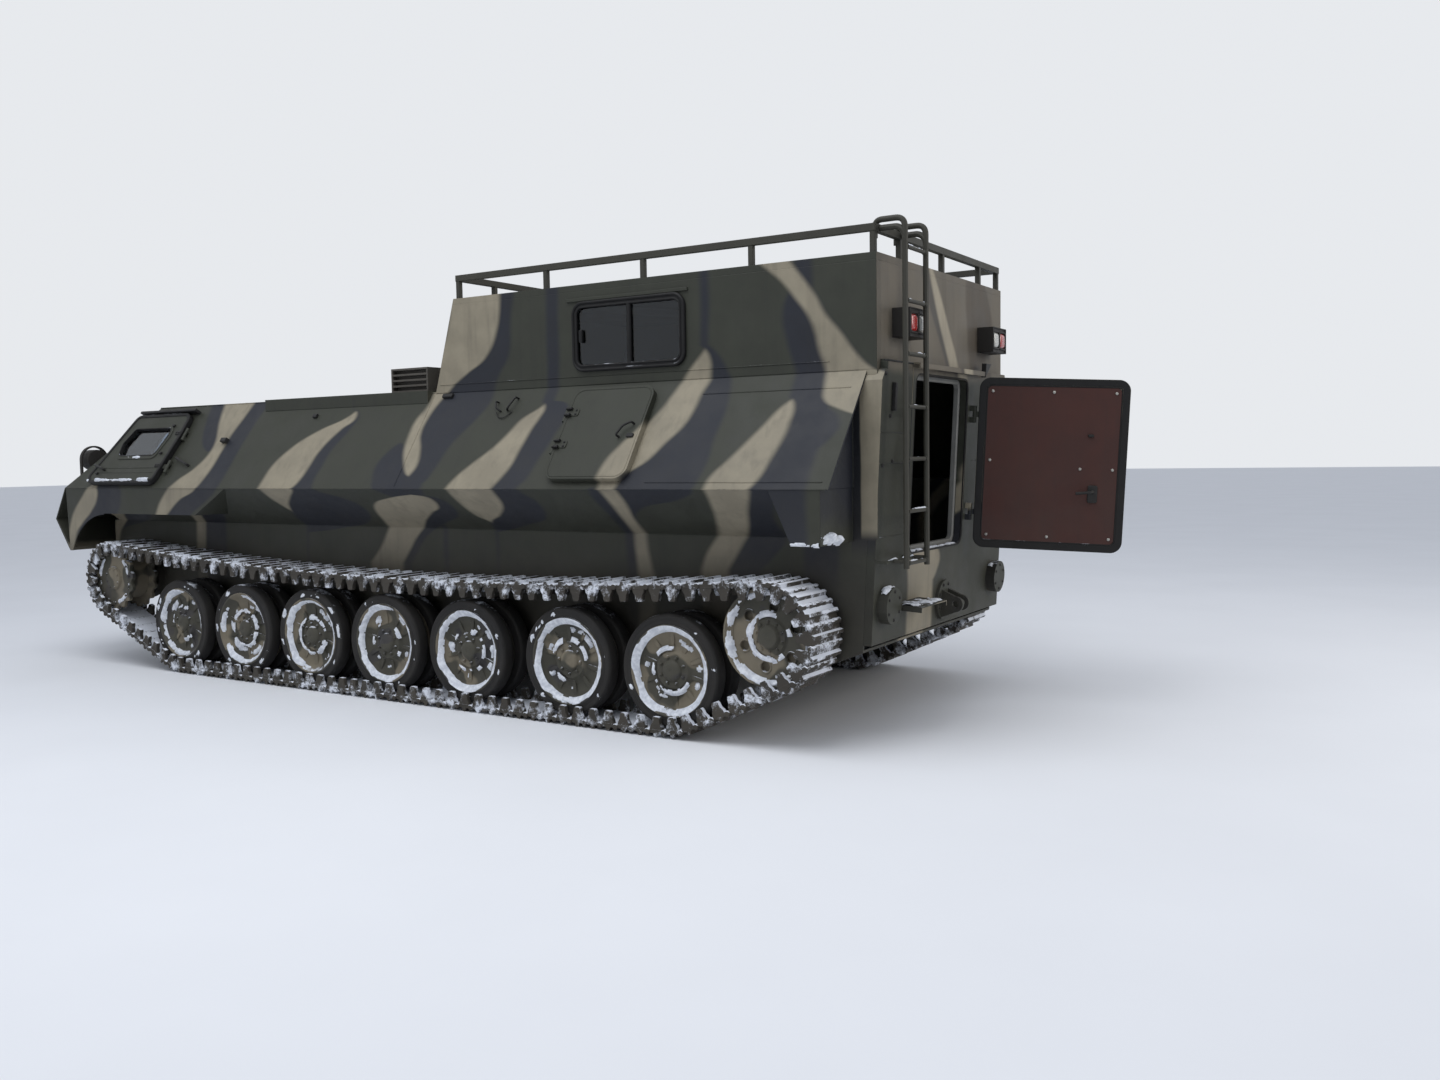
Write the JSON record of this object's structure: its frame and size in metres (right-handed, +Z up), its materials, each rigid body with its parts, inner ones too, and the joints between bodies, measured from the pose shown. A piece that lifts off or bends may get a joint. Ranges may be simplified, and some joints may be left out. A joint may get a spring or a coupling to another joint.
{
  "type": "tracked all-terrain carrier",
  "caption": "Tracked all-terrain carrier with a wedge cab, an engine deck and a tall passenger cabin; rear door, cab doors, side hatches and roof lids open.",
  "frame": {"origin": "on the ground, under the middle of the overall length at rest, with the rear door stored open", "axes": "+X is forward, +Y is to the left, +Z is up"},
  "size_m": [8.3975, 2.887, 2.87],
  "materials": {
    "camouflage_paint": "matt camouflage paint in grey olive, navy and sand",
    "underbody_paint": "matt paint, dirty",
    "louvre_paint": "matt paint",
    "track_steel": "worn cast steel with snow and dirt",
    "tyre_rubber": "solid rubber",
    "wheel_paint": "matt paint",
    "dark_steel": "matt paint",
    "rack_paint": "satin paint",
    "glass": "clear",
    "rubber_seal": "black rubber",
    "seat_cover": "dark blue cover",
    "black_plastic": "matt",
    "engine_iron": "cast",
    "floor_paint": "worn paint",
    "inner_paint": "satin paint",
    "door_lining": "red-brown cover",
    "lamp_housing": "black housing, red and clear lenses"
  },
  "bodies": {
    "hull": {"bulkheads": "inner_paint", "cab_roof": "camouflage_paint", "cabin_front_wall": "camouflage_paint", "cabin_left_wall": "camouflage_paint", "cabin_rear_wall": "camouflage_paint", "cabin_right_wall": "camouflage_paint", "cabin_roof": "camouflage_paint", "dashboard": "black_plastic", "engine_block": "engine_iron", "engine_deck": "camouflage_paint", "floors": "floor_paint", "glacis": "camouflage_paint", "headlamps": "lamp_housing", "hull_tub": "underbody_paint", "idlers": "wheel_paint", "ladder": "rack_paint", "louvre_box": "louvre_paint", "nose": "camouflage_paint", "rear_fenders": "camouflage_paint", "rear_plate": "camouflage_paint", "road_wheels": "wheel_paint", "roof_rack": "rack_paint", "seats": "seat_cover", "side_plate_left": "camouflage_paint", "side_plate_right": "camouflage_paint", "sponsons": "camouflage_paint", "sprockets": "track_steel", "suspension_arms": "dark_steel", "tail_lamps": "lamp_housing", "track_left": "track_steel", "track_right": "track_steel", "tyres": "tyre_rubber", "window_frames": "rubber_seal", "window_glass": "glass"},
    "rear_door": {"rear_door": "camouflage_paint", "rear_door_lining": "door_lining"},
    "side_hatch_left": {"side_hatch_left": "camouflage_paint"},
    "side_hatch_right": {"side_hatch_right": "camouflage_paint"},
    "cab_door_left": {"cab_door_left": "camouflage_paint", "cab_door_glass_left": "glass"},
    "cab_door_right": {"cab_door_right": "camouflage_paint", "cab_door_glass_right": "glass"},
    "roof_hatch_left": {"roof_hatch_left": "camouflage_paint"},
    "roof_hatch_right": {"roof_hatch_right": "camouflage_paint"}
  },
  "joints": [
    {"name": "rear_door_hinge", "type": "hinge", "parent": "hull", "child": "rear_door", "pos_m": [-3.28423, -0.34, 1.55359], "axis": [-0.0523, 0, 0.9986], "range_deg": [-110, 20]},
    {"name": "side_hatch_left_hinge", "type": "hinge", "parent": "hull", "child": "side_hatch_left", "pos_m": [-1.18624, 1.21667, 1.79659], "axis": [0, 0.5457, -0.838], "range_deg": [0, 110]},
    {"name": "side_hatch_right_hinge", "type": "hinge", "parent": "hull", "child": "side_hatch_right", "pos_m": [-1.18624, -1.21667, 1.79659], "axis": [0, 0.5457, 0.838], "range_deg": [0, 110]},
    {"name": "cab_door_left_hinge", "type": "hinge", "parent": "hull", "child": "cab_door_left", "pos_m": [2.68476, 1.25678, 1.73499], "axis": [0, -0.5457, 0.838], "range_deg": [0, 100]},
    {"name": "cab_door_right_hinge", "type": "hinge", "parent": "hull", "child": "cab_door_right", "pos_m": [2.68476, -1.25678, 1.73499], "axis": [0, -0.5457, -0.838], "range_deg": [0, 100]},
    {"name": "roof_hatch_left_hinge", "type": "hinge", "parent": "hull", "child": "roof_hatch_left", "pos_m": [2.36076, 0.47, 2.109], "axis": [0, -1, 0], "range_deg": [0, 100]},
    {"name": "roof_hatch_right_hinge", "type": "hinge", "parent": "hull", "child": "roof_hatch_right", "pos_m": [2.36076, -0.47, 2.109], "axis": [0, -1, 0], "range_deg": [0, 100]}
  ]
}
